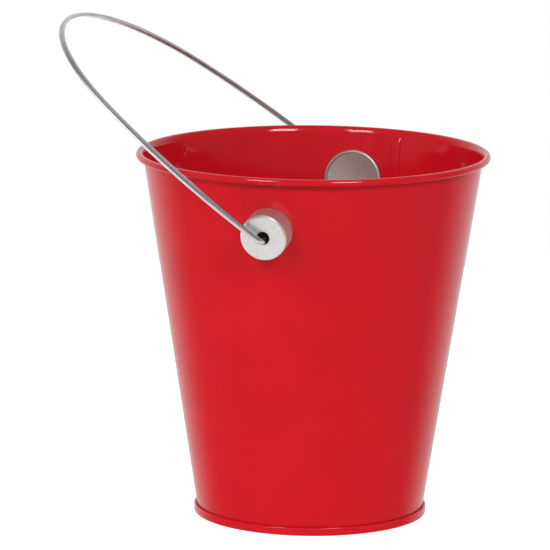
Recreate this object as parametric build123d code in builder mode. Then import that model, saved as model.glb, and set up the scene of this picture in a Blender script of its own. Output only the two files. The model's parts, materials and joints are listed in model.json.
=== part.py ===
"""A small tin sand bucket: tapered pail, curled rim, seamed base, drum ears and a wire bail.

Millimetres. The origin is the centre of the foot on the floor and +Z runs up the pail's axis.
The two ears stand on -Y (front) and +Y (rear), and the bail leans towards -X.
"""

import os
from math import atan, atan2, cos, degrees, radians, sin, sqrt

from build123d import *

# ---------------------------------------------------------------- driving dimensions

SHEET = 0.28  # tinplate of the wall and the base
PLAY = 0.02  # air between the folded layers of the base seam

PAIL_HEIGHT = 119.0
RIM_RADIUS = 57.5  # outside of the curled rim
LIP_RADIUS = 4.0  # the wall bends outwards this gently before it curls, middle of the sheet
LIP_SWEEP = 25.0
CURL_END_ANGLE = -135.0  # where the curled edge stops, seen in section

WALL_FLOOR_RADIUS = 36.7  # outside of the wall's cone, carried down to the floor
WALL_RIM_RADIUS = 55.4  # the same cone carried up to the rim's height

FOOT_RADIUS = 38.0
FOOT_HEIGHT = 2.65
FOOT_CORNER = 0.31  # bend at the bottom of the foot, middle of the sheet
PANEL_HEIGHT = 3.5  # middle of the base panel's sheet, above the floor
PANEL_CORNER = 0.6
PANEL_STEP_RADIUS = 27.0  # a shallow pressed step stiffens the panel
PANEL_STEP = 0.6

SEAM_WIDTH = 4.0  # folded seam up the wall
SEAM_DEPTH = 0.56  # two more layers of sheet on the inside
SEAM_ANGLE = 74.5  # round from +X towards +Y
SEAM_BOTTOM = 4.0
SEAM_TOP = 116.5  # just under the lip

EAR_SHEET = 0.5
EAR_HEIGHT = 101.7  # where the ear's axis crosses the outside of the wall
EAR_RADIUS = 7.5
EAR_PROJECTION = 7.6
EAR_EDGE_RADIUS = 1.0
EAR_HOLE_RADIUS = 2.05
EAR_ROLL_RADIUS = 9.75  # outside of the rolled rim, inside the pail
EAR_LIP_RADIUS = 8.75  # where the rolled rim's lip ends on the plate
EAR_NECK_BEND = 0.6  # between the drum and its flange, middle of the sheet
EAR_WALL_FIT = 0.03
PLATE_SHEET = 0.4
PLATE_RADIUS = 9.0
PLATE_FLAT_RADIUS = 6.9  # flat outside this, under the lip, and dished within it
PLATE_BLEND = 3.0
PLATE_DISH_ANGLE = 6.0  # slope at the edge of the dish, degrees

WIRE_RADIUS = 1.0
BAIL_LEAN = 54.0  # degrees from upright, towards -X
BAIL_HEIGHT = 101.5  # from the hinge line to the middle of the wire
BAIL_TOP_RADIUS = 56.4
BAIL_TOP_ANGLE = 67.0  # half of the top arc
BAIL_LEG_RADIUS = 140.0
OUTER_BEND = 2.2
INNER_BEND = 1.8
HOOK_DISTANCE = 57.6  # from the pail's axis to the middle of the hook's wire
HOOK_LENGTH = 2.0
HINGE_CLEARANCE = 0.1

# ---------------------------------------------------------------- worked out from them

WALL_SLOPE = (WALL_RIM_RADIUS - WALL_FLOOR_RADIUS) / PAIL_HEIGHT
WALL_TILT = atan(WALL_SLOPE)
WALL_THICKNESS = SHEET / cos(WALL_TILT)  # measured level, through the sloping wall
LAYER = SHEET + PLAY
NECK_RADIUS = FOOT_RADIUS - 3 * LAYER - SHEET / 2  # middle of the wall inside the base seam
NECK_HEIGHT = (NECK_RADIUS + WALL_THICKNESS / 2 - WALL_FLOOR_RADIUS) / WALL_SLOPE


def wall_middle(height):
    """Radius of the middle of the wall's sheet."""
    return WALL_FLOOR_RADIUS + WALL_SLOPE * height - WALL_THICKNESS / 2


FRONT = -1
REAR = 1

os.makedirs("parts", exist_ok=True)


def save(piece, name):
    piece.label = name
    export_step(piece, f"parts/{name}.step")
    print(f"{name:16s} {len(piece.solids())} solid {piece.volume:10.2f} mm3")


# ---------------------------------------------------------------- where the ears stand


def ear_plane(side):
    """On the outside of the wall, looking out along the ear; side is FRONT or REAR."""
    outward = Vector(0, side * cos(WALL_TILT), -sin(WALL_TILT))
    middle = Vector(0, side * (WALL_FLOOR_RADIUS + WALL_SLOPE * EAR_HEIGHT), EAR_HEIGHT)
    return Plane(origin=middle, x_dir=(1, 0, 0), z_dir=outward)


# ---------------------------------------------------------------- wall

# Seen in section the lip leaves the cone without a corner and the curl follows on. The curl's radius,
# at the middle of the sheet, is the one that reaches the rim's radius and the pail's height at once.
lip_start = 180 - degrees(WALL_TILT)
curl_start = lip_start - LIP_SWEEP
turn_x = cos(radians(curl_start))
turn_z = sin(radians(curl_start))
lip_out = RIM_RADIUS - SHEET / 2 - wall_middle(0) - LIP_RADIUS * (cos(WALL_TILT) + turn_x)
lip_up = PAIL_HEIGHT - SHEET / 2 + LIP_RADIUS * (sin(WALL_TILT) - turn_z)
curl_middle = (lip_out - WALL_SLOPE * lip_up) / (1 - turn_x - WALL_SLOPE * (1 - turn_z))
curl_r = RIM_RADIUS - SHEET / 2 - curl_middle
curl_z = PAIL_HEIGHT - SHEET / 2 - curl_middle
lip_centre_r = curl_r - (LIP_RADIUS - curl_middle) * turn_x
lip_centre_z = curl_z - (LIP_RADIUS - curl_middle) * turn_z
hook_bend = LAYER
hook_bend_z = 2 * LAYER + SHEET / 2  # centre of the bend at the bottom of the wall's hook
hook_top = FOOT_HEIGHT - 2 * LAYER + PLAY

with BuildPart() as seam_strip:
    with BuildSketch(Plane.XZ):
        with BuildLine():
            bottom_r = wall_middle(SEAM_BOTTOM)
            top_r = wall_middle(SEAM_TOP)
            inward = SEAM_DEPTH + SHEET / 2
            Polyline(
                (bottom_r, SEAM_BOTTOM),
                (top_r, SEAM_TOP),
                (top_r - inward, SEAM_TOP),
                (bottom_r - inward, SEAM_BOTTOM),
                close=True,
            )
        make_face()
    revolve(axis=Axis.Z)
    with BuildSketch(Plane.XY):
        with Locations((RIM_RADIUS / 2, 0)):
            Rectangle(RIM_RADIUS, SEAM_WIDTH)
    extrude(amount=PAIL_HEIGHT, mode=Mode.INTERSECT)

with BuildPart() as pail_wall:
    with BuildSketch(Plane.XZ):
        with BuildLine():
            hook_r = NECK_RADIUS + 2 * hook_bend
            hook = Line((hook_r, hook_top), (hook_r, hook_bend_z))
            turn = CenterArc((NECK_RADIUS + hook_bend, hook_bend_z), hook_bend, 0, -180)
            neck = Line(turn @ 1, (NECK_RADIUS, NECK_HEIGHT))
            curl = CenterArc(
                (curl_r, curl_z), curl_middle, curl_start, CURL_END_ANGLE - curl_start
            )
            lip = CenterArc((lip_centre_r, lip_centre_z), LIP_RADIUS, lip_start, -LIP_SWEEP)
            cone = Line(neck @ 1, lip @ 0)
        trace(line_width=SHEET)
    revolve(axis=Axis.Z)
    add(seam_strip.part.rotate(Axis.Z, SEAM_ANGLE))
    for side in (FRONT, REAR):
        with BuildSketch(ear_plane(side)):
            Circle(EAR_RADIUS + EAR_WALL_FIT)
        extrude(amount=EAR_RADIUS, both=True, mode=Mode.SUBTRACT)

# ---------------------------------------------------------------- base

# Seen in section the sheet runs from the seam's inner hook, over the top of the seam, down its
# outside, under the foot, up inside the wall and across the panel.
end_hook_r = NECK_RADIUS + LAYER
seam_wall_r = NECK_RADIUS + 3 * LAYER
chuck_wall_r = NECK_RADIUS - LAYER
seam_top_z = FOOT_HEIGHT - SHEET / 2 - LAYER
end_hook_z = hook_bend_z + PLAY
foot_z = SHEET / 2 + FOOT_CORNER
panel_z = PANEL_HEIGHT

with BuildPart() as pail_base:
    with BuildSketch(Plane.XZ):
        with BuildLine():
            end_hook = Line((end_hook_r, end_hook_z), (end_hook_r, seam_top_z))
            over = CenterArc((end_hook_r + LAYER, seam_top_z), LAYER, 180, -180)
            seam_wall = Line(over @ 1, (seam_wall_r, foot_z))
            outer = CenterArc((seam_wall_r - FOOT_CORNER, foot_z), FOOT_CORNER, 0, -90)
            foot = Line(outer @ 1, (chuck_wall_r + FOOT_CORNER, SHEET / 2))
            inner = CenterArc((chuck_wall_r + FOOT_CORNER, foot_z), FOOT_CORNER, -90, -90)
            chuck_wall = Line(inner @ 1, (chuck_wall_r, panel_z - PANEL_CORNER))
            corner = CenterArc(
                (chuck_wall_r - PANEL_CORNER, panel_z - PANEL_CORNER), PANEL_CORNER, 0, 90
            )
            step_r = PANEL_STEP_RADIUS
            panel = Line(corner @ 1, (step_r + PANEL_STEP, panel_z))
            step = Line(panel @ 1, (step_r, panel_z + PANEL_STEP))
            middle = Line(step @ 1, (0, panel_z + PANEL_STEP))
        trace(line_width=SHEET)
    revolve(axis=Axis.Z)

# ---------------------------------------------------------------- ears

# The flat flange bears on the curved wall at its two sides, so its middle stands in from it.
ear_wall_r = (WALL_FLOOR_RADIUS + WALL_SLOPE * EAR_HEIGHT) / cos(WALL_TILT)
flange_gap = EAR_ROLL_RADIUS**2 / (2 * (ear_wall_r - SHEET)) + EAR_WALL_FIT
flange_z = -(SHEET + flange_gap + EAR_SHEET / 2)
roll_bend = (EAR_SHEET + PLATE_SHEET) / 2 + PLAY
lip_z = flange_z - 2 * roll_bend
plate_z = flange_z - roll_bend


# Both pieces are drawn in section about +Z, which is then laid along the ear's axis.
drum_r = EAR_RADIUS - EAR_SHEET / 2
edge_bend = EAR_EDGE_RADIUS - EAR_SHEET / 2
face_z = EAR_PROJECTION - EAR_SHEET / 2
roll_r = EAR_ROLL_RADIUS - EAR_SHEET / 2 - roll_bend

# The drawn cup: a pierced face, the drum, a flange inside the wall and its rolled rim.
with BuildPart() as ear_drum:
    with BuildSketch(Plane.XZ):
        with BuildLine():
            face = Line((EAR_HOLE_RADIUS, face_z), (drum_r - edge_bend, face_z))
            edge = CenterArc((drum_r - edge_bend, face_z - edge_bend), edge_bend, 90, -90)
            tube = Line(edge @ 1, (drum_r, flange_z + EAR_NECK_BEND))
            neck_at = (drum_r + EAR_NECK_BEND, flange_z + EAR_NECK_BEND)
            neck = CenterArc(neck_at, EAR_NECK_BEND, 180, 90)
            flange = Line(neck @ 1, (roll_r, flange_z))
            roll = CenterArc((roll_r, plate_z), roll_bend, 90, -180)
            lip = Line(roll @ 1, (EAR_LIP_RADIUS, lip_z))
        trace(line_width=EAR_SHEET)
    revolve(axis=Axis.Z)

# The dished disc that closes the drum, held in the flange's rolled rim.
with BuildPart() as ear_plate:
    with BuildSketch(Plane.XZ):
        with BuildLine():
            margin = Line((PLATE_RADIUS, plate_z), (PLATE_FLAT_RADIUS, plate_z))
            blend = JernArc(margin @ 1, (-1, 0), PLATE_BLEND, -PLATE_DISH_ANGLE)
            dish_r = (blend @ 1).X / sin(radians(PLATE_DISH_ANGLE))
            dish_z = (blend @ 1).Y - dish_r * cos(radians(PLATE_DISH_ANGLE))
            CenterArc((0, dish_z), dish_r, 90 - PLATE_DISH_ANGLE, PLATE_DISH_ANGLE)
        trace(line_width=PLATE_SHEET)
    revolve(axis=Axis.Z)

# ---------------------------------------------------------------- bail

# The wire lies on the lower edge of each ear's hole. Its plane has X along the hinge line and Y
# from the hinge line to the middle of the bail.
hole_z = EAR_HEIGHT - (EAR_PROJECTION - EAR_SHEET / 2) * sin(WALL_TILT)
HINGE_HEIGHT = hole_z - (EAR_HOLE_RADIUS - WIRE_RADIUS - HINGE_CLEARANCE)
lean = radians(BAIL_LEAN)
bail_plane = Plane(origin=(0, 0, HINGE_HEIGHT), x_dir=(0, 1, 0), z_dir=(cos(lean), 0, sin(lean)))

top_centre_y = BAIL_HEIGHT - BAIL_TOP_RADIUS
leg_angle = 90 - BAIL_TOP_ANGLE
leg_x = (BAIL_TOP_RADIUS - BAIL_LEG_RADIUS) * sin(radians(BAIL_TOP_ANGLE))
leg_y = top_centre_y + (BAIL_TOP_RADIUS - BAIL_LEG_RADIUS) * cos(radians(BAIL_TOP_ANGLE))
bend_x = leg_x + sqrt((BAIL_LEG_RADIUS - OUTER_BEND) ** 2 - (OUTER_BEND - leg_y) ** 2)
bend_angle = degrees(atan2(OUTER_BEND - leg_y, bend_x - leg_x))
inner_x = HOOK_DISTANCE + INNER_BEND

with BuildPart() as bail:
    with BuildLine(bail_plane) as wire:
        CenterArc((0, top_centre_y), BAIL_TOP_RADIUS, 90, -BAIL_TOP_ANGLE)
        leg = CenterArc((leg_x, leg_y), BAIL_LEG_RADIUS, leg_angle, bend_angle - leg_angle)
        bend = CenterArc((bend_x, OUTER_BEND), OUTER_BEND, bend_angle, -90 - bend_angle)
        pivot = Line((bend_x, 0), (inner_x, 0))
        turn = CenterArc((inner_x, -INNER_BEND), INNER_BEND, 90, 90)
        hook = Line((HOOK_DISTANCE, -INNER_BEND), (HOOK_DISTANCE, -INNER_BEND - HOOK_LENGTH))
        mirror(about=Plane.XZ)
    tip = bail_plane.from_local_coords(Vector(HOOK_DISTANCE, -INNER_BEND - HOOK_LENGTH))
    with BuildSketch(Plane(origin=tip, x_dir=(0, 1, 0), z_dir=bail_plane.y_dir)):
        Circle(WIRE_RADIUS)
    sweep(path=wire.wire())

# ---------------------------------------------------------------- one file for each piece

save(pail_wall.part, "pail_wall")
save(pail_base.part, "pail_base")
for side, place in ((FRONT, "front"), (REAR, "rear")):
    ear_location = ear_plane(side).location
    save(ear_drum.part.moved(ear_location), f"ear_drum_{place}")
    save(ear_plate.part.moved(ear_location), f"ear_plate_{place}")
save(bail.part, "bail_wire")
print(f"hinge height {HINGE_HEIGHT:.3f}  wire {wire.wire().length:.1f} long, leg bend {bend_x:.2f}")
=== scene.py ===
"""Looks of a tin sand bucket: an enamelled sheet-metal pail, satin ears and a bail of drawn wire.

The foot's centre is the origin and Z is the pail's axis. The ears stand on -Y (front) and +Y (rear),
and the bail leans towards -X. Shapes are drawn in millimetres and are turned into metres when their
meshes are made. Lights and materials are in metres.
"""

import json
from math import asin, atan, atan2, ceil, cos, degrees, pi, radians, sin, sqrt, tau

import bmesh
import bpy
from mathutils import Matrix, Vector


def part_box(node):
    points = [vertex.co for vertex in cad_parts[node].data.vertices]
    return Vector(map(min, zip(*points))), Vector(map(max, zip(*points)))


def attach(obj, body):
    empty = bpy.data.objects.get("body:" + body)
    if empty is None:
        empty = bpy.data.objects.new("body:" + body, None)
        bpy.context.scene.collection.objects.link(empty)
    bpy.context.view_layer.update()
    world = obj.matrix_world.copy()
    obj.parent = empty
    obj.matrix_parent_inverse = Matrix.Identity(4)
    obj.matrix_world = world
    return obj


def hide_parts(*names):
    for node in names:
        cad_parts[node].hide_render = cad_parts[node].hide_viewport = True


MM = 0.001

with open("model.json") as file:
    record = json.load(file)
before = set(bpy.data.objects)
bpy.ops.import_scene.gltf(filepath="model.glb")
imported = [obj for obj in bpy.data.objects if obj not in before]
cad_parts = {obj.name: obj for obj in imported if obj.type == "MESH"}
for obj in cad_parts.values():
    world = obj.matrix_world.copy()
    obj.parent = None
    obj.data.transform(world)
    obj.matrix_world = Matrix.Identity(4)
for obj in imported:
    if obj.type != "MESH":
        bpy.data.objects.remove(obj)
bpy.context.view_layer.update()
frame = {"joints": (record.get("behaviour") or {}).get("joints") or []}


# ---------------------------------------------------------------- sizes


def node_box(node):
    """Lowest and highest corner of a CAD node, in millimetres."""
    low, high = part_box(node)
    return low / MM, high / MM


RIM_RADIUS = node_box("pail_wall")[1].x
PAIL_HEIGHT = node_box("pail_wall")[1].z
FOOT_RADIUS = node_box("pail_base")[1].x
FOOT_HEIGHT = 2.65
HINGE_HEIGHT = frame["joints"][0]["pos_m"][2] / MM

SHEET = 0.28  # tinplate of the wall and the base
PLAY = 0.02  # air between folded or rolled layers
LAYER = SHEET + PLAY
WALL_FLOOR_RADIUS = 36.7  # outside of the wall's cone, carried down to the floor
WALL_RIM_RADIUS = 55.4  # the same cone carried up to the rim's height
WALL_SLOPE = (WALL_RIM_RADIUS - WALL_FLOOR_RADIUS) / PAIL_HEIGHT
WALL_TILT = atan(WALL_SLOPE)
WALL_THICKNESS = SHEET / cos(WALL_TILT)  # measured level, through the sloping wall
NECK_RADIUS = FOOT_RADIUS - 3 * LAYER - SHEET / 2  # middle of the wall inside the base seam
NECK_HEIGHT = (NECK_RADIUS + WALL_THICKNESS / 2 - WALL_FLOOR_RADIUS) / WALL_SLOPE

LIP_RADIUS = 4.0  # the wall bends outwards this gently before it curls, middle of the sheet
LIP_SWEEP = 25
CURL_END_ANGLE = -135  # where the curled edge stops, seen in section

SEAM_ANGLE = 74.5  # round from +X towards +Y
SEAM_WIDTH = 4.0
SEAM_DEPTH = 0.56  # two more layers of sheet on the inside
SEAM_SHOULDER = 0.9  # width of the rounding at each of its sides
SEAM_END = 1.2  # length over which it sinks into the wall under the rim
SEAM_BOTTOM = 4.0
SEAM_TOP = 116.5

FOOT_CORNER = 0.31  # middle of the sheet
PANEL_HEIGHT = 3.5  # middle of the base panel's sheet
PANEL_CORNER = 0.6
PANEL_STEP_RADIUS = 27.0
PANEL_STEP = 0.6

EAR_SHEET = 0.5
EAR_HEIGHT = 101.7  # where the ear's axis crosses the outside of the wall
EAR_RADIUS = 7.5
EAR_PROJECTION = 7.6
EAR_EDGE_RADIUS = 1.0
EAR_HOLE_RADIUS = 2.05
EAR_ROLL_RADIUS = 9.75  # outside of the rolled rim, inside the pail
EAR_LIP_RADIUS = 8.75  # where the rolled rim's lip ends on the plate
EAR_NECK_BEND = 0.6  # between the drum and its flange, middle of the sheet
EAR_WALL_FIT = 0.03
EAR_WALL_RADIUS = (WALL_FLOOR_RADIUS + WALL_SLOPE * EAR_HEIGHT) / cos(WALL_TILT)
PLATE_SHEET = 0.4
PLATE_RADIUS = 9.0
DISH_RADIUS = 8.6
DISH_DEPTH = 0.36

# Heights on the ear's axis, from where it crosses the outside of the wall. The flat flange bears on
# the curved wall at its two sides, so its middle stands in from it.
FLANGE_GAP = EAR_ROLL_RADIUS**2 / (2 * (EAR_WALL_RADIUS - SHEET)) + EAR_WALL_FIT
FLANGE_Z = -(SHEET + FLANGE_GAP + EAR_SHEET / 2)
ROLL_BEND = (EAR_SHEET + PLATE_SHEET) / 2 + PLAY
PLATE_Z = FLANGE_Z - ROLL_BEND
EAR_LIP_Z = FLANGE_Z - 2 * ROLL_BEND

WIRE_RADIUS = 1.0
WIRE_CHAMFER = 0.25  # at the wire's two cut ends
BAIL_LEAN = 54.0  # degrees from upright, towards -X
BAIL_HEIGHT = 101.5  # from the hinge line to the middle of the wire
BAIL_TOP_RADIUS = 56.4
BAIL_TOP_ANGLE = 67.0  # half of the top arc
BAIL_LEG_RADIUS = 140.0
OUTER_BEND = 2.2
INNER_BEND = 1.8
HOOK_DISTANCE = 57.6  # from the pail's axis to the middle of the hook's wire
HOOK_LENGTH = 2.0

FRONT = -1
REAR = 1

# ---------------------------------------------------------------- drawing sections


AXIS_REACH = 0.02  # a point this near the axis is put on it
SAME_POINT = 1e-4  # points nearer than this are one


class Path:
    """A line of points in a plane, made of straight runs and arcs. Angles are degrees."""

    GUARD = 0.12  # a run has a point this close to each end, so that its middle shades flat

    def __init__(self, x, y):
        self.points = [Vector((x, y))]

    def line_to(self, x, y, parts=1):
        start = self.points[-1]
        end = Vector((x, y))
        length = (end - start).length
        if length > 4 * self.GUARD:
            self.points.append(start.lerp(end, self.GUARD / length))
            for part in range(1, parts):
                self.points.append(start.lerp(end, part / parts))
            self.points.append(end.lerp(start, self.GUARD / length))
        self.points.append(end)
        return self

    def arc(self, centre_x, centre_y, radius, start, sweep, step=10):
        parts = max(2, ceil(abs(sweep) / step))
        for part in range(parts + 1):
            angle = radians(start + sweep * part / parts)
            point = Vector((centre_x + radius * cos(angle), centre_y + radius * sin(angle)))
            if (point - self.points[-1]).length > SAME_POINT:
                self.points.append(point)
        return self


def sheet_outline(points, thickness, end_parts=4):
    """The closed outline of a sheet whose middle follows the points, with rounded ends."""
    sharpest = 0.5  # a corner's point stands out no further than half / sharpest
    half = thickness / 2
    sides = ([], [])
    for index, point in enumerate(points):
        before = (point - points[index - 1]).normalized() if index else None
        after = (points[index + 1] - point).normalized() if index < len(points) - 1 else None
        along = ((before or after) + (after or before)).normalized()
        across = Vector((-along.y, along.x))
        miter = half / max(sharpest, along.dot(after or before))
        sides[0].append(point + across * miter)
        sides[1].append(point - across * miter)

    def end_cap(end, inner):
        out = (end - inner).normalized()
        across = Vector((-out.y, out.x))
        angles = [pi / 2 - pi * part / end_parts for part in range(1, end_parts)]
        return [end + out * half * cos(a) + across * half * sin(a) for a in angles]

    return (
        sides[0]
        + end_cap(points[-1], points[-2])
        + sides[1][::-1]
        + end_cap(points[0], points[1])
    )


def up_to_axis(outline):
    """Drops the outline's points past the axis and puts those beside it on it."""
    kept = [p for p in outline if p.x > -AXIS_REACH]
    return [Vector((p.x if p.x > AXIS_REACH else 0, p.y)) for p in kept]


def new_object(name, mesh):
    piece = bpy.data.objects.new(name, mesh)
    bpy.context.scene.collection.objects.link(piece)
    return piece


def finished(name, work, location=None, crease=40):
    """Makes the object of a bmesh drawn in millimetres. Edges bent more than crease stay sharp."""
    bmesh.ops.remove_doubles(work, verts=work.verts, dist=1e-5)
    bmesh.ops.recalc_face_normals(work, faces=work.faces)
    for vertex in work.verts:
        vertex.co = (location @ vertex.co if location else vertex.co) * MM
    for face in work.faces:
        face.smooth = True
    for edge in work.edges:
        edge.smooth = edge.is_manifold and edge.calc_face_angle(0) < radians(crease)
    mesh = bpy.data.meshes.new(name)
    work.to_mesh(mesh)
    work.free()
    return new_object(name, mesh)


def lathe(name, outline, steps, location=None):
    """Turns a closed outline of (radius, height) points about Z."""
    work = bmesh.new()
    rings = []
    for step in range(steps):
        angle = tau * step / steps
        rings.append([work.verts.new((p.x * cos(angle), p.x * sin(angle), p.y)) for p in outline])
    for step in range(steps):
        ring, following = rings[step], rings[(step + 1) % steps]
        for index in range(len(outline)):
            other = (index + 1) % len(outline)
            corners = [ring[index], following[index], following[other], ring[other]]
            if outline[index].x == 0:
                corners.remove(following[index])
            if outline[other].x == 0:
                corners.remove(following[other])
            if len(corners) > 2:
                work.faces.new(corners)
    return finished(name, work, location)


# ---------------------------------------------------------------- wall

WALL_STEPS = 360
ROWS_BELOW_PATCH = 24
ROWS_ABOVE_PATCH = 4
PATCH_HALF = 12  # grid cells from the ear's axis to the edge of the rearranged patch
HOLE_HALF = 6  # and to the edge of the cells that the hole takes


def wall_radius(height):
    """Middle of the wall's sheet."""
    return WALL_FLOOR_RADIUS + WALL_SLOPE * height - WALL_THICKNESS / 2


PATCH_CELL = tau * wall_radius(EAR_HEIGHT) / WALL_STEPS


def rows_between(low, high, count):
    """Heights that divide the stretch from low to high evenly, without its two ends."""
    return [low + (high - low) * row / count for row in range(1, count)]


def add_rim(path):
    """Adds the lip and the curl to the wall's section. The lip leaves the cone without a corner and
    the curl follows on. The curl's radius, at the middle of the sheet, is the one that reaches the
    rim's radius and the pail's height at once."""
    lip_start = 180 - degrees(WALL_TILT)
    curl_start = lip_start - LIP_SWEEP
    turn = Vector((cos(radians(curl_start)), sin(radians(curl_start))))
    lip_out = RIM_RADIUS - SHEET / 2 - wall_radius(0) - LIP_RADIUS * (cos(WALL_TILT) + turn.x)
    lip_up = PAIL_HEIGHT - SHEET / 2 + LIP_RADIUS * (sin(WALL_TILT) - turn.y)
    curl_radius = (lip_out - WALL_SLOPE * lip_up) / (1 - turn.x - WALL_SLOPE * (1 - turn.y))
    curl_centre = Vector((RIM_RADIUS, PAIL_HEIGHT)) - Vector((1, 1)) * (curl_radius + SHEET / 2)
    lip_centre = curl_centre - turn * (LIP_RADIUS - curl_radius)
    cone_bottom = path.points[-1].y
    cone_top = lip_centre.y + LIP_RADIUS * sin(WALL_TILT)
    heights = rows_between(cone_bottom, cone_top, ROWS_ABOVE_PATCH) + [cone_top - Path.GUARD]
    path.points += [Vector((wall_radius(z), z)) for z in heights]
    path.arc(*lip_centre, LIP_RADIUS, lip_start, -LIP_SWEEP, step=5)
    path.arc(*curl_centre, curl_radius, curl_start, CURL_END_ANGLE - curl_start, step=9)


def wall_section():
    """The middle of the wall's sheet from the hook in the foot to the end of the curl, with the
    index of the first of the evenly spaced points that the ear patches use."""
    bend_z = 2 * LAYER + SHEET / 2
    hook_r = NECK_RADIUS + 2 * LAYER
    path = Path(hook_r, FOOT_HEIGHT - 2 * LAYER + PLAY)
    path.line_to(hook_r, bend_z)
    path.arc(NECK_RADIUS + LAYER, bend_z, LAYER, 0, -180, step=30)
    path.line_to(NECK_RADIUS, NECK_HEIGHT)
    patch_bottom = EAR_HEIGHT - PATCH_HALF * PATCH_CELL
    heights = [NECK_HEIGHT + Path.GUARD]
    heights += rows_between(NECK_HEIGHT, patch_bottom, ROWS_BELOW_PATCH)
    path.points += [Vector((wall_radius(z), z)) for z in heights]
    first = len(path.points)
    heights = [patch_bottom + PATCH_CELL * row for row in range(2 * PATCH_HALF + 1)]
    path.points += [Vector((wall_radius(z), z)) for z in heights]
    add_rim(path)
    return path.points, first


def ear_patch(grid, first, side):
    """Moves the grid's points round an ear's hole on to the wall around it, and returns the cells
    that the hole takes. In the patch each ring of cells goes from the square to the circle."""
    middle_step = WALL_STEPS // 4 * side
    middle_row = first + PATCH_HALF
    hole_r = EAR_RADIUS + EAR_WALL_FIT
    for column in range(-PATCH_HALF + 1, PATCH_HALF):
        for row in range(-PATCH_HALF + 1, PATCH_HALF):
            reach = max(abs(column), abs(row))
            if reach < HOLE_HALF:
                continue
            outwards = Vector((column, row)) * PATCH_CELL
            outer = outwards * PATCH_HALF / reach
            on_hole = outwards.normalized() * hole_r
            share = (reach - HOLE_HALF) / (PATCH_HALF - HOLE_HALF)
            moved = on_hole.lerp(outer, share)
            # on the hole the point is laid on the cone along the ear's tilted axis
            sag = moved.x**2 / (2 * EAR_WALL_RADIUS)
            tilted = moved.y * cos(WALL_TILT) + sag * sin(WALL_TILT)
            height = EAR_HEIGHT + share * moved.y + (1 - share) * tilted
            radius = wall_radius(height)
            in_grid = moved.x / wall_radius(EAR_HEIGHT)
            turn = side * pi / 2 + share * in_grid + (1 - share) * asin(moved.x / radius)
            vertex = grid[(middle_step + column) % WALL_STEPS][middle_row + row]
            vertex.co = (radius * cos(turn), radius * sin(turn), height)
    span = range(-HOLE_HALF, HOLE_HALF)
    columns = [(middle_step + column) % WALL_STEPS for column in span]
    return {(column, middle_row + row) for column in columns for row in span}


def make_wall():
    """The rolled wall with its rim and its two ear holes, one sheet that a modifier thickens."""
    section, first = wall_section()
    work = bmesh.new()
    grid = []
    for step in range(WALL_STEPS):
        angle = tau * step / WALL_STEPS
        grid.append([work.verts.new((p.x * cos(angle), p.x * sin(angle), p.y)) for p in section])
    open_cells = ear_patch(grid, first, FRONT) | ear_patch(grid, first, REAR)
    for step in range(WALL_STEPS):
        ring, following = grid[step], grid[(step + 1) % WALL_STEPS]
        for index in range(len(section) - 1):
            above = index + 1
            if (step, index) not in open_cells:
                work.faces.new([ring[index], following[index], following[above], ring[above]])
    loose = [vertex for vertex in work.verts if not vertex.link_faces]
    bmesh.ops.delete(work, geom=loose, context="VERTS")
    wall = finished("pail_wall_shell", work, crease=180)
    thicken = wall.modifiers.new("sheet", "SOLIDIFY")
    thicken.thickness = SHEET * MM
    thicken.offset = 0
    thicken.use_even_offset = True
    return wall


SEAM_COLUMNS = 20
SEAM_ROWS = 60


def smooth_step(low, high, value):
    """From 0 at low to 1 at high, level at both."""
    share = min(1.0, max(0.0, (value - low) / (high - low)))
    return share * share * (3 - 2 * share)


def make_seam():
    """The folded seam that stands on the inside of the wall, a low rib with rounded shoulders."""
    half = SEAM_WIDTH / 2
    across = [half * (2 * column / SEAM_COLUMNS - 1) for column in range(SEAM_COLUMNS + 1)]
    turn = Matrix.Rotation(radians(SEAM_ANGLE), 4, "Z")
    heights = [SEAM_BOTTOM, *rows_between(SEAM_BOTTOM, SEAM_TOP, SEAM_ROWS), SEAM_TOP]
    work = bmesh.new()
    rings = []
    for height in heights:
        inner = wall_radius(height) - WALL_THICKNESS / 2
        fade = smooth_step(0, SEAM_END, SEAM_TOP - height)
        ring = []
        for x in across:
            rise = SEAM_DEPTH * fade * sqrt(smooth_step(0, SEAM_SHOULDER, half - abs(x)))
            ring.append(Vector((sqrt(inner**2 - x * x) - rise, x, height)))
        ring += [Vector((sqrt(inner**2 - x * x) + SHEET / 2, x, height)) for x in (half, -half)]
        rings.append([work.verts.new(turn @ p) for p in ring])
    for ring, following in zip(rings, rings[1:]):
        for index in range(len(ring)):
            other = (index + 1) % len(ring)
            work.faces.new([ring[index], ring[other], following[other], following[index]])
    work.faces.new(rings[0])
    work.faces.new(rings[-1])
    return finished("pail_side_seam", work, crease=50)


# ---------------------------------------------------------------- base


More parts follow.
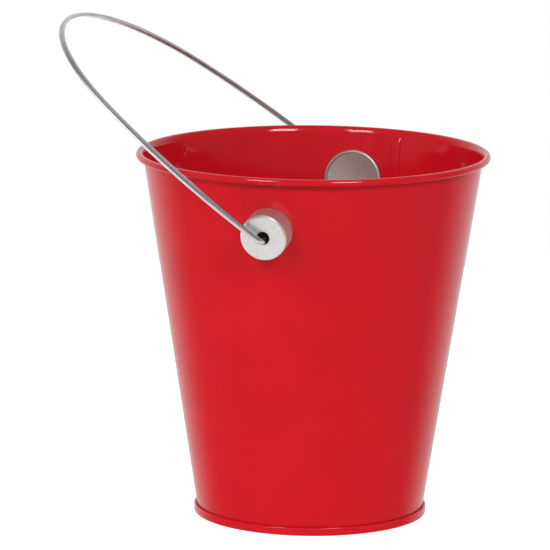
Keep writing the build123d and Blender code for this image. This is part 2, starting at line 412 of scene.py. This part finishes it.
def make_base():
    """The pressed base. Its sheet runs from the seam's inner hook, over the top of the seam, down
    its outside, under the foot, up inside the wall and across the panel."""
    end_hook_r = NECK_RADIUS + LAYER
    seam_wall_r = NECK_RADIUS + 3 * LAYER
    chuck_wall_r = NECK_RADIUS - LAYER
    seam_top = FOOT_HEIGHT - SHEET / 2 - LAYER
    foot_z = SHEET / 2 + FOOT_CORNER
    panel_z = PANEL_HEIGHT
    path = Path(end_hook_r, 2 * LAYER + SHEET / 2 + PLAY)
    path.line_to(end_hook_r, seam_top)
    path.arc(end_hook_r + LAYER, seam_top, LAYER, 180, -180, step=15)
    path.line_to(seam_wall_r, foot_z)
    path.arc(seam_wall_r - FOOT_CORNER, foot_z, FOOT_CORNER, 0, -90, step=15)
    path.line_to(chuck_wall_r + FOOT_CORNER, SHEET / 2)
    path.arc(chuck_wall_r + FOOT_CORNER, foot_z, FOOT_CORNER, -90, -90, step=15)
    path.line_to(chuck_wall_r, panel_z - PANEL_CORNER)
    corner_r = chuck_wall_r - PANEL_CORNER
    path.arc(corner_r, panel_z - PANEL_CORNER, PANEL_CORNER, 0, 90, step=15)
    path.line_to(PANEL_STEP_RADIUS + PANEL_STEP, panel_z, parts=4)
    path.line_to(PANEL_STEP_RADIUS, panel_z + PANEL_STEP)
    path.line_to(0, panel_z + PANEL_STEP, parts=12)
    outline = up_to_axis(sheet_outline(path.points, SHEET))
    return lathe("pail_base_shell", outline, WALL_STEPS)


# ---------------------------------------------------------------- ears

EAR_STEPS = 180
DISH_PARTS = 16


def ear_matrix(side):
    """From a section about +Z to the ear on that side."""
    outward = Vector((0, side * cos(WALL_TILT), -sin(WALL_TILT)))
    across = Vector((1, 0, 0))
    up = outward.cross(across)
    middle = Vector((0, side * (WALL_FLOOR_RADIUS + WALL_SLOPE * EAR_HEIGHT), EAR_HEIGHT))
    matrix = Matrix((across, up, outward)).transposed().to_4x4()
    matrix.translation = middle
    return matrix


def make_drum(place, side):
    """The drawn cup: a pierced face, the drum, a flange inside the wall and its rolled rim."""
    drum_r = EAR_RADIUS - EAR_SHEET / 2
    edge_bend = EAR_EDGE_RADIUS - EAR_SHEET / 2
    face_z = EAR_PROJECTION - EAR_SHEET / 2
    roll_r = EAR_ROLL_RADIUS - EAR_SHEET / 2 - ROLL_BEND
    path = Path(EAR_HOLE_RADIUS + EAR_SHEET / 2, face_z)
    path.line_to(drum_r - edge_bend, face_z)
    path.arc(drum_r - edge_bend, face_z - edge_bend, edge_bend, 90, -90)
    path.line_to(drum_r, FLANGE_Z + EAR_NECK_BEND)
    path.arc(drum_r + EAR_NECK_BEND, FLANGE_Z + EAR_NECK_BEND, EAR_NECK_BEND, 180, 90)
    path.line_to(roll_r, FLANGE_Z)
    path.arc(roll_r, PLATE_Z, ROLL_BEND, 90, -180)
    path.line_to(EAR_LIP_RADIUS + EAR_SHEET / 2, EAR_LIP_Z)
    outline = sheet_outline(path.points, EAR_SHEET, end_parts=6)
    return lathe(f"ear_drum_shell_{place}", outline, EAR_STEPS, ear_matrix(side))


def make_plate(place, side):
    """The dished disc that closes the drum, held in the flange's rolled rim."""
    radii = [DISH_RADIUS * (1 - part / DISH_PARTS) for part in range(DISH_PARTS + 1)]
    points = [Vector((PLATE_RADIUS, PLATE_Z))]
    points += [Vector((r, PLATE_Z + DISH_DEPTH * (1 - (r / DISH_RADIUS) ** 2))) for r in radii]
    outline = up_to_axis(sheet_outline(points, PLATE_SHEET))
    return lathe(f"ear_plate_disc_{place}", outline, EAR_STEPS, ear_matrix(side))


# ---------------------------------------------------------------- bail

WIRE_SIDES = 32


def bail_half_path():
    """Half of the wire's centreline in the bail's plane, from its top to the hook's tip."""
    top_y = BAIL_HEIGHT - BAIL_TOP_RADIUS
    leg_angle = 90 - BAIL_TOP_ANGLE
    leg_x = (BAIL_TOP_RADIUS - BAIL_LEG_RADIUS) * sin(radians(BAIL_TOP_ANGLE))
    leg_y = top_y + (BAIL_TOP_RADIUS - BAIL_LEG_RADIUS) * cos(radians(BAIL_TOP_ANGLE))
    bend_x = leg_x + sqrt((BAIL_LEG_RADIUS - OUTER_BEND) ** 2 - (OUTER_BEND - leg_y) ** 2)
    bend_angle = degrees(atan2(OUTER_BEND - leg_y, bend_x - leg_x))
    inner_x = HOOK_DISTANCE + INNER_BEND
    path = Path(0, BAIL_HEIGHT)
    path.arc(0, top_y, BAIL_TOP_RADIUS, 90, -BAIL_TOP_ANGLE, step=1)
    path.arc(leg_x, leg_y, BAIL_LEG_RADIUS, leg_angle, bend_angle - leg_angle, step=0.4)
    path.arc(bend_x, OUTER_BEND, OUTER_BEND, bend_angle, -90 - bend_angle, step=7)
    path.line_to(inner_x, 0)
    path.arc(inner_x, -INNER_BEND, INNER_BEND, 90, 90, step=7)
    path.line_to(HOOK_DISTANCE, -INNER_BEND - HOOK_LENGTH)
    return path.points


def make_bail():
    """The bent wire, with a small chamfer at its two cut ends."""
    half = bail_half_path()
    flat = [Vector((-p.x, p.y)) for p in half[:0:-1]] + half
    lean = radians(BAIL_LEAN)
    up = Vector((-sin(lean), 0, cos(lean)))
    out = Vector((cos(lean), 0, sin(lean)))
    origin = Vector((0, 0, HINGE_HEIGHT))
    line = [origin + Vector((0, p.x, 0)) + up * p.y for p in flat]
    work = bmesh.new()
    rings = []

    def add_ring(centre, along, radius):
        across = along.cross(out).normalized()
        ring = []
        for side in range(WIRE_SIDES):
            angle = tau * side / WIRE_SIDES
            spoke = across * cos(angle) + out * sin(angle)
            ring.append(work.verts.new(centre + spoke * radius))
        rings.append(ring)

    for index, point in enumerate(line):
        before = line[max(0, index - 1)]
        after = line[min(len(line) - 1, index + 1)]
        along = (after - before).normalized()
        if index == 0:
            add_ring(point, along, WIRE_RADIUS - WIRE_CHAMFER)
            add_ring(point + along * WIRE_CHAMFER, along, WIRE_RADIUS)
        elif index == len(line) - 1:
            add_ring(point - along * WIRE_CHAMFER, along, WIRE_RADIUS)
            add_ring(point, along, WIRE_RADIUS - WIRE_CHAMFER)
        elif 1 < index < len(line) - 2:
            add_ring(point, along, WIRE_RADIUS)
    for ring, following in zip(rings, rings[1:]):
        for side in range(WIRE_SIDES):
            other = (side + 1) % WIRE_SIDES
            work.faces.new([ring[side], ring[other], following[other], following[side]])
    work.faces.new(rings[0])
    work.faces.new(rings[-1])
    return finished("bail_wire_round", work, crease=30)


# ---------------------------------------------------------------- materials

# A noise's scale is the number of its waves in a metre, and a bump's distance is in metres.


class Nodes:
    """A material's node tree, with short names for what the materials below need."""

    def __init__(self, name):
        self.material = bpy.data.materials.new(name)
        self.material.use_nodes = True
        self.tree = self.material.node_tree
        self.shader = self.tree.nodes["Principled BSDF"]

    def add(self, kind, **values):
        node = self.tree.nodes.new(kind)
        for key, value in values.items():
            setattr(node, key, value)
        return node

    def link(self, source, target):
        self.tree.links.new(source, target)

    def noise(self, scale, detail=2.0, roughness=0.5):
        coordinates = self.add("ShaderNodeTexCoord")
        texture = self.add("ShaderNodeTexNoise")
        texture.inputs["Scale"].default_value = scale
        texture.inputs["Detail"].default_value = detail
        texture.inputs["Roughness"].default_value = roughness
        self.link(coordinates.outputs["Object"], texture.inputs["Vector"])
        return texture.outputs["Fac"]

    def span(self, source, low, high, from_low=0.3, from_high=0.7):
        """Carries the source's usual range over to low..high."""
        node = self.add("ShaderNodeMapRange")
        node.inputs["From Min"].default_value = from_low
        node.inputs["From Max"].default_value = from_high
        node.inputs["To Min"].default_value = low
        node.inputs["To Max"].default_value = high
        self.link(source, node.inputs["Value"])
        return node.outputs["Result"]

    def mix(self, factor, first, second):
        node = self.add("ShaderNodeMix", data_type="RGBA")
        node.inputs["A"].default_value = (*first, 1)
        node.inputs["B"].default_value = (*second, 1)
        self.link(factor, node.inputs["Factor"])
        return node.outputs["Result"]

    def bump(self, height, distance, strength):
        node = self.add("ShaderNodeBump")
        node.inputs["Strength"].default_value = strength
        node.inputs["Distance"].default_value = distance
        self.link(height, node.inputs["Height"])
        return node.outputs["Normal"]

    def shade(self, socket, source):
        """Drives one of the shader's sockets."""
        self.link(source, self.shader.inputs[socket])

    def set(self, **values):
        """Sets the shader's sockets; an underscore stands for the space in a socket's name."""
        for key, value in values.items():
            self.shader.inputs[key.replace("_", " ")].default_value = value


def red_enamel():
    """Gloss paint: a trace of mottling in the red, uneven gloss and a fine orange peel."""
    nodes = Nodes("red_enamel")
    tint = nodes.span(nodes.noise(55, detail=3), 0, 1)
    nodes.shade("Base Color", nodes.mix(tint, (0.60, 0.0058, 0.014), (0.66, 0.0068, 0.016)))
    nodes.shade("Roughness", nodes.span(nodes.noise(90, detail=4), 0.07, 0.11))
    peel = nodes.noise(260, detail=1.0, roughness=0.3)
    nodes.shade("Normal", nodes.bump(peel, distance=0.000004, strength=0.6))
    nodes.set(IOR=1.5)
    return nodes.material


def satin_nickel(name, roughness):
    """Satin plating with a speckled tone and a fine grain."""
    nodes = Nodes(name)
    tone = nodes.span(nodes.noise(900, detail=5, roughness=0.7), 0, 1)
    nodes.shade("Base Color", nodes.mix(tone, (0.52, 0.505, 0.485), (0.63, 0.62, 0.60)))
    uneven = nodes.noise(400, detail=5)
    nodes.shade("Roughness", nodes.span(uneven, roughness - 0.03, roughness + 0.03))
    grain = nodes.noise(2600, detail=3)
    nodes.shade("Normal", nodes.bump(grain, distance=0.00002, strength=0.8))
    nodes.set(Metallic=0.8)
    return nodes.material


def drawn_steel():
    """Bright wire, a little uneven in tone and gloss."""
    nodes = Nodes("drawn_steel")
    tone = nodes.span(nodes.noise(300, detail=4), 0, 1)
    nodes.shade("Base Color", nodes.mix(tone, (0.52, 0.51, 0.50), (0.62, 0.61, 0.60)))
    nodes.shade("Roughness", nodes.span(nodes.noise(500, detail=3), 0.28, 0.36))
    nodes.set(Metallic=1.0)
    return nodes.material


# ---------------------------------------------------------------- camera

VIEW_AZIMUTH = 15.0  # round from -Y towards +X, degrees
VIEW_ELEVATION = 11.165  # of the camera, seen from the pail's middle
VIEW_DISTANCE = 27.283 * RIM_RADIUS
CAMERA_PITCH = 10.495  # how far it looks down, degrees
CAMERA_YAW = -0.45  # how far it looks past the pail's middle
CAMERA_ROLL = 0.503
LENS = 314.4
SENSOR_WIDTH = 36
CLIP_END = 50
PAIL_MIDDLE = Vector((0, 0, PAIL_HEIGHT / 2))


def direction(azimuth, elevation):
    """From the pail towards a place round it; azimuth 0 is on -Y."""
    a = radians(azimuth)
    e = radians(elevation)
    return Vector((sin(a) * cos(e), -cos(a) * cos(e), sin(e)))


def make_camera():
    data = bpy.data.cameras.new("camera")
    data.lens = LENS
    data.sensor_width = SENSOR_WIDTH
    data.clip_end = CLIP_END
    camera = bpy.data.objects.new("camera", data)
    bpy.context.scene.collection.objects.link(camera)
    spot = direction(VIEW_AZIMUTH, VIEW_ELEVATION) * VIEW_DISTANCE + PAIL_MIDDLE
    turn = (
        Matrix.Rotation(radians(VIEW_AZIMUTH) - radians(CAMERA_YAW), 4, "Z")
        @ Matrix.Rotation(pi / 2 - radians(CAMERA_PITCH), 4, "X")
        @ Matrix.Rotation(radians(CAMERA_ROLL), 4, "Z")
    )
    camera.matrix_world = Matrix.Translation(spot * MM) @ turn
    bpy.context.scene.camera = camera


# ---------------------------------------------------------------- studio

SOFTBOX_DISTANCE = 1.2
FLOOR_RADIUS = 0.45
FLOOR_GAP = 0.0002  # the floor lies this far below the foot
GLOW_SIZE = 1.6
GLOW_HEIGHT = 0.0005
WHITE = (1, 1, 1, 1)


def make_light(name, shape, size, power, matrix):
    data = bpy.data.lights.new(name, "AREA")
    data.shape = shape
    data.size = size
    data.energy = power
    light = bpy.data.objects.new(name, data)
    bpy.context.scene.collection.objects.link(light)
    light.matrix_world = matrix
    return light


def make_softbox(name, azimuth, elevation, size, power, glossy=True):
    """A square light that looks at the pail. Its azimuth is counted from the camera's, its size is
    in metres and its power in watts, and one that isn't glossy has no reflection."""
    away = direction(VIEW_AZIMUTH + azimuth, elevation)
    spot = PAIL_MIDDLE * MM + away * SOFTBOX_DISTANCE
    turn = away.to_track_quat("Z", "Y").to_matrix().to_4x4()
    light = make_light(name, "SQUARE", size, power, Matrix.Translation(spot) @ turn)
    light.visible_glossy = glossy
    return light


def only_for(light, group):
    """The light falls on the group's pieces alone."""
    light.light_linking.receiver_collection = group


def make_floor_glow(power):
    """The white floor as the bare metal sees it, a light that shines upwards."""
    upwards = Matrix.Rotation(pi, 4, "X")
    spot = Matrix.Translation((0, 0, GLOW_HEIGHT))
    return make_light("floor_glow", "DISK", GLOW_SIZE, power, spot @ upwards)


def make_world():
    """White surroundings, dim in front of the pail and bright behind it, as a lit backdrop is. What
    shows of them directly is plain white."""
    world = bpy.data.worlds.new("studio")
    bpy.context.scene.world = world
    world.use_nodes = True
    tree = world.node_tree
    background = tree.nodes["Background"]
    coordinates = tree.nodes.new("ShaderNodeTexCoord")
    behind = tree.nodes.new("ShaderNodeVectorMath")
    behind.operation = "DOT_PRODUCT"
    behind.inputs[1].default_value = -direction(VIEW_AZIMUTH, 0)
    ramp = tree.nodes.new("ShaderNodeMapRange")
    ramp.interpolation_type = "SMOOTHSTEP"
    ramp.inputs["From Min"].default_value = 0.2
    ramp.inputs["From Max"].default_value = 0.9
    ramp.inputs["To Min"].default_value = 0.18
    ramp.inputs["To Max"].default_value = 0.78
    path = tree.nodes.new("ShaderNodeLightPath")
    seen = tree.nodes.new("ShaderNodeMath")
    seen.operation = "MAXIMUM"
    tree.links.new(coordinates.outputs["Generated"], behind.inputs[0])
    tree.links.new(behind.outputs["Value"], ramp.inputs["Value"])
    tree.links.new(ramp.outputs["Result"], seen.inputs[0])
    tree.links.new(path.outputs["Is Camera Ray"], seen.inputs[1])
    tree.links.new(seen.outputs["Value"], background.inputs["Strength"])
    background.inputs["Color"].default_value = WHITE


def make_floor():
    """A round sheet of white paper that glows a little, and more where it is seen directly."""
    work = bmesh.new()
    bmesh.ops.create_circle(work, cap_ends=True, radius=FLOOR_RADIUS, segments=180)
    mesh = bpy.data.meshes.new("floor")
    work.to_mesh(mesh)
    work.free()
    floor = new_object("floor", mesh)
    floor.location.z = -FLOOR_GAP
    nodes = Nodes("floor_paper")
    nodes.shade("Base Color", nodes.mix(nodes.noise(3), (0.86, 0.86, 0.86), (0.90, 0.90, 0.90)))
    path = nodes.add("ShaderNodeLightPath")
    nodes.shade("Emission Strength", nodes.span(path.outputs["Is Camera Ray"], 0.15, 0.75, 0, 1))
    nodes.set(Roughness=0.9, Emission_Color=WHITE)
    mesh.materials.append(nodes.material)
    floor.visible_glossy = False
    return floor


# ---------------------------------------------------------------- the whole

# Each group of pieces has lights of its own, and the floor belongs to the painted one.
painted = bpy.data.collections.new("painted")
ears = bpy.data.collections.new("ears")
wire = bpy.data.collections.new("wire")
bare_metal = bpy.data.collections.new("bare_metal")
bare_metal.children.link(ears)
bare_metal.children.link(wire)


def dress(piece, group, body, slot, material, *replaced):
    """Gives a piece its material, its group of lights and its body. Its slot is not used."""
    piece.data.materials.append(material)
    group.objects.link(piece)
    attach(piece, body)
    if replaced:
        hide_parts(*replaced)


enamel = red_enamel()
drum_nickel = satin_nickel("drum_nickel", 0.38)
plate_nickel = satin_nickel("plate_nickel", 0.30)
steel = drawn_steel()

dress(make_wall(), painted, "pail", "red_enamel", enamel, "pail_wall")
dress(make_seam(), painted, "pail", "red_enamel", enamel)
dress(make_base(), painted, "pail", "red_enamel", enamel, "pail_base")
for place, side in (("front", FRONT), ("rear", REAR)):
    drum = make_drum(place, side)
    plate = make_plate(place, side)
    dress(drum, ears, "pail", "nickel_ear", drum_nickel, f"ear_drum_{place}")
    dress(plate, ears, "pail", "nickel_ear", plate_nickel, f"ear_plate_{place}")
dress(make_bail(), wire, "bail", "bail_steel", steel, "bail_wire")
painted.objects.link(make_floor())

make_world()
only_for(make_softbox("key", -36, 36, 0.32, 3.5), painted)
only_for(make_softbox("second", 23, 36, 0.32, 5.0), painted)
make_softbox("fill_corner", -45, 35, 0.6, 1.5, glossy=False)
make_softbox("fill_left", -75, 10, 0.6, 3.8, glossy=False)
make_softbox("fill_right", 75, 10, 0.6, 2.6, glossy=False)
only_for(make_softbox("ear_front", -8, 8, 0.9, 2.7), ears)
only_for(make_softbox("wire_front", -8, 8, 0.9, 1.0), wire)
only_for(make_softbox("metal_left", -80, 5, 0.9, 4.0), bare_metal)
only_for(make_softbox("metal_right", 100, 25, 1.2, 2.4), bare_metal)
only_for(make_softbox("ear_edge", 15, 50, 0.4, 4.5), ears)
only_for(make_softbox("metal_top", 0, 82, 1.2, 2.0), bare_metal)
only_for(make_softbox("metal_back", 180, 0, 0.9, 1.8), bare_metal)
only_for(make_floor_glow(6.0), bare_metal)
make_camera()
bpy.context.scene.view_settings.view_transform = "Standard"
